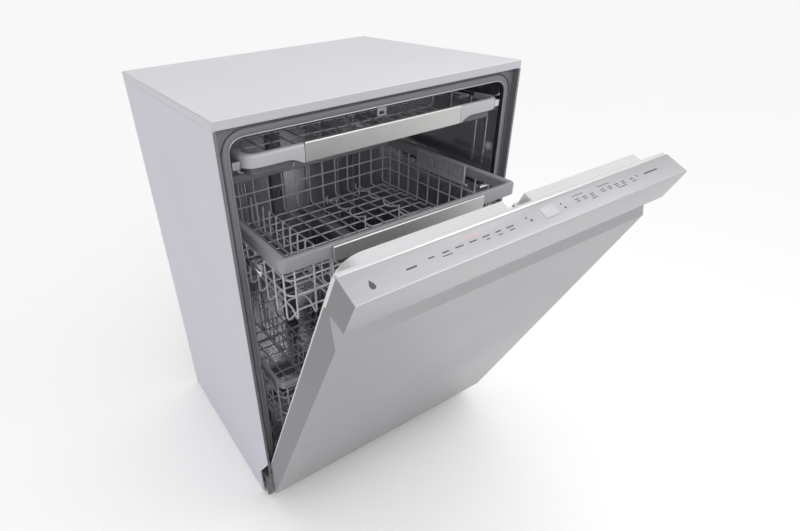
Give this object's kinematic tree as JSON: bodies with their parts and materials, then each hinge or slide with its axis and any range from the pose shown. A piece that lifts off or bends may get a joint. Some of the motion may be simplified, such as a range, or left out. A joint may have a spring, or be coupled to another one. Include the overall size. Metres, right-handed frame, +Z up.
{
  "type": "built-in dishwasher",
  "caption": "Built-in dishwasher in a casing, drop-down steel door with pocket handle and top controls, sliding racks, spray arms, sump and pump.",
  "frame": {"origin": "centre of the casing's footprint on the floor", "axes": "+X right, +Z up, the door at the front faces -Y"},
  "size_m": [0.604, 0.8306, 0.854],
  "materials": {
    "casing_paint": "satin",
    "top_board": "satin laminate",
    "galvanised_steel": "satin",
    "dark_plastic": "matte",
    "tub_steel": "satin",
    "frame_grey": "satin",
    "bright_lip": "polished",
    "gasket_rubber": "matte",
    "wash_plastic": "matte",
    "motor_metal": "cast",
    "white_plastic": "matte",
    "door_steel": "brushed",
    "fascia_steel": "brushed",
    "display_glass": "polished",
    "board_green": "matte",
    "liner_steel": "satin",
    "insulation_felt": "felt",
    "rack_wire": "coated",
    "handle_steel": "brushed",
    "corner_grey": "glossy",
    "rim_grey": "matte"
  },
  "bodies": {
    "cabinet": {"left_side_panel": "casing_paint", "right_side_panel": "casing_paint", "top_panel": "top_board", "rear_panel": "galvanised_steel", "base_frame": "galvanised_steel", "kick_plate": "dark_plastic", "drip_pan": "dark_plastic", "tub": "tub_steel", "tub_front_frame": "frame_grey", "tub_lip_trim": "bright_lip", "door_gasket": "gasket_rubber", "door_strike": "galvanised_steel", "hinge_brackets": "galvanised_steel", "rack_rails": "tub_steel", "wash_duct": "wash_plastic", "sump": "dark_plastic", "filter_plate": "tub_steel", "wash_motor": "motor_metal", "drain_pump": "dark_plastic", "inlet_valve": "white_plastic", "drain_outlet": "dark_plastic", "junction_box": "galvanised_steel"},
    "door": {"door_outer_panel": "door_steel", "control_fascia": "fascia_steel", "display_window": "display_glass", "control_board": "board_green", "door_inner_liner": "liner_steel", "door_insulation": "insulation_felt", "dispenser_body": "wash_plastic", "door_hinge_arms": "galvanised_steel"},
    "third_rack": {"third_rack_basket": "rack_wire", "third_rack_handle": "handle_steel", "third_rack_corners": "corner_grey", "third_rack_sliders": "tub_steel"},
    "upper_rack": {"upper_rack_basket": "rack_wire", "upper_rack_rim": "rim_grey", "upper_rack_handle": "handle_steel", "upper_rack_sliders": "tub_steel", "middle_feed_pipe": "wash_plastic"},
    "lower_rack": {"lower_rack_basket": "rack_wire", "lower_rack_handle": "corner_grey"},
    "lid": {"detergent_lid": "wash_plastic"},
    "rinse_cap": {"rinse_aid_cap": "dark_plastic"},
    "hook": {"latch_hook": "white_plastic"},
    "foot_fl": {"foot_front_left": "dark_plastic"},
    "foot_fr": {"foot_front_right": "dark_plastic"},
    "foot_rl": {"foot_rear_left": "dark_plastic"},
    "foot_rr": {"foot_rear_right": "dark_plastic"},
    "filter": {"filter_cylinder": "wash_plastic"},
    "float": {"overflow_float": "wash_plastic"},
    "impeller": {"pump_impeller": "white_plastic"},
    "top_arm": {"top_spray_arm": "wash_plastic"},
    "bottom_arm": {"lower_spray_arm": "wash_plastic"},
    "upper_tines": {"upper_rack_tines": "rack_wire"},
    "shelf": {"cup_shelf": "corner_grey"},
    "middle_arm": {"middle_spray_arm": "wash_plastic"},
    "wheels_front": {"front_wheels": "corner_grey"},
    "wheels_rear": {"rear_wheels": "corner_grey"},
    "lower_tines": {"lower_rack_tines": "rack_wire"},
    "cutlery": {"silverware_basket": "corner_grey"}
  },
  "joints": [
    {"name": "door_hinge", "type": "hinge", "parent": "cabinet", "child": "door", "pos_m": [0, -0.2395, 0.129], "axis": [1, 0, 0], "range_deg": [-25.5, 64.5]},
    {"name": "third_rack_slide", "type": "slide", "parent": "cabinet", "child": "third_rack", "axis": [0, -1, 0], "range_m": [-0.0351, 0.36]},
    {"name": "upper_rack_slide", "type": "slide", "parent": "cabinet", "child": "upper_rack", "axis": [0, -1, 0], "range_m": [-0.1101, 0.33]},
    {"name": "lower_rack_slide", "type": "slide", "parent": "cabinet", "child": "lower_rack", "axis": [0, -1, 0], "range_m": [-0.0291, 0.45]},
    {"name": "front_wheels_roll", "type": "hinge", "parent": "lower_rack", "child": "wheels_front", "pos_m": [0, -0.165, 0.1684], "axis": [1, 0, 0], "range_deg": [-94, 1433]},
    {"name": "rear_wheels_roll", "type": "hinge", "parent": "lower_rack", "child": "wheels_rear", "pos_m": [0, 0.105, 0.1684], "axis": [1, 0, 0], "range_deg": [-94, 1433]},
    {"name": "detergent_lid_hinge", "type": "hinge", "parent": "door", "child": "lid", "pos_m": [0, -0.35183, 0.41445], "axis": [-1, 0, 0], "range_deg": [0, 100]},
    {"name": "rinse_cap_turn", "type": "hinge", "parent": "door", "child": "rinse_cap", "pos_m": [0.042, -0.37983, 0.472], "axis": [0, 0.9026, 0.4305], "range_deg": [0, 90]},
    {"name": "latch_hook_turn", "type": "hinge", "parent": "door", "child": "hook", "pos_m": [-0.006, -0.52429, 0.73769], "axis": [1, 0, 0], "range_deg": [0, 25], "stiffness_Nm_per_rad": 0.05},
    {"name": "filter_turn", "type": "hinge", "parent": "cabinet", "child": "filter", "pos_m": [0, -0.058, 0.11], "axis": [0, 0, 1], "range_deg": [0, 90]},
    {"name": "float_rise", "type": "slide", "parent": "cabinet", "child": "float", "axis": [0, 0, 1], "range_m": [0, 0.006]},
    {"name": "impeller_spin", "type": "hinge", "parent": "cabinet", "child": "impeller", "pos_m": [0, -0.012, 0.07], "axis": [0, 0, 1], "continuous": true},
    {"name": "top_arm_spin", "type": "hinge", "parent": "cabinet", "child": "top_arm", "pos_m": [0, -0.012, 0.806], "axis": [0, 0, 1], "continuous": true},
    {"name": "lower_arm_spin", "type": "hinge", "parent": "cabinet", "child": "bottom_arm", "pos_m": [0, -0.012, 0.154], "axis": [0, 0, 1], "continuous": true},
    {"name": "middle_arm_spin", "type": "hinge", "parent": "upper_rack", "child": "middle_arm", "pos_m": [0, -0.12, 0.506], "axis": [0, 0, 1], "continuous": true},
    {"name": "upper_tines_fold", "type": "hinge", "parent": "upper_rack", "child": "upper_tines", "pos_m": [-0.15, -0.12, 0.547], "axis": [0, 1, 0], "range_deg": [0, 80]},
    {"name": "cup_shelf_fold", "type": "hinge", "parent": "upper_rack", "child": "shelf", "pos_m": [0.228, -0.134, 0.618], "axis": [0, -1, 0], "range_deg": [0, 90]},
    {"name": "lower_tines_fold", "type": "hinge", "parent": "lower_rack", "child": "lower_tines", "pos_m": [-0.13, -0.04, 0.201], "axis": [0, 1, 0], "range_deg": [0, 80]},
    {"name": "cutlery_lift", "type": "slide", "parent": "lower_rack", "child": "cutlery", "axis": [0, 0, 1], "range_m": [0, 0.15]},
    {"name": "foot_fl_screw", "type": "slide", "parent": "cabinet", "child": "foot_fl", "axis": [0, 0, -1], "range_m": [0, 0.03]},
    {"name": "foot_fr_screw", "type": "slide", "parent": "cabinet", "child": "foot_fr", "axis": [0, 0, -1], "range_m": [0, 0.03]},
    {"name": "foot_rl_screw", "type": "slide", "parent": "cabinet", "child": "foot_rl", "axis": [0, 0, -1], "range_m": [0, 0.03]},
    {"name": "foot_rr_screw", "type": "slide", "parent": "cabinet", "child": "foot_rr", "axis": [0, 0, -1], "range_m": [0, 0.03]}
  ],
  "couplings": [
    {"joint": "third_rack_slide", "follows": "door_hinge", "m_per_rad": 0.07864},
    {"joint": "upper_rack_slide", "follows": "door_hinge", "m_per_rad": 0.24717},
    {"joint": "lower_rack_slide", "follows": "door_hinge", "m_per_rad": 0.06516},
    {"joint": "front_wheels_roll", "follows": "door_hinge", "ratio": 3.62},
    {"joint": "rear_wheels_roll", "follows": "door_hinge", "ratio": 3.62}
  ]
}
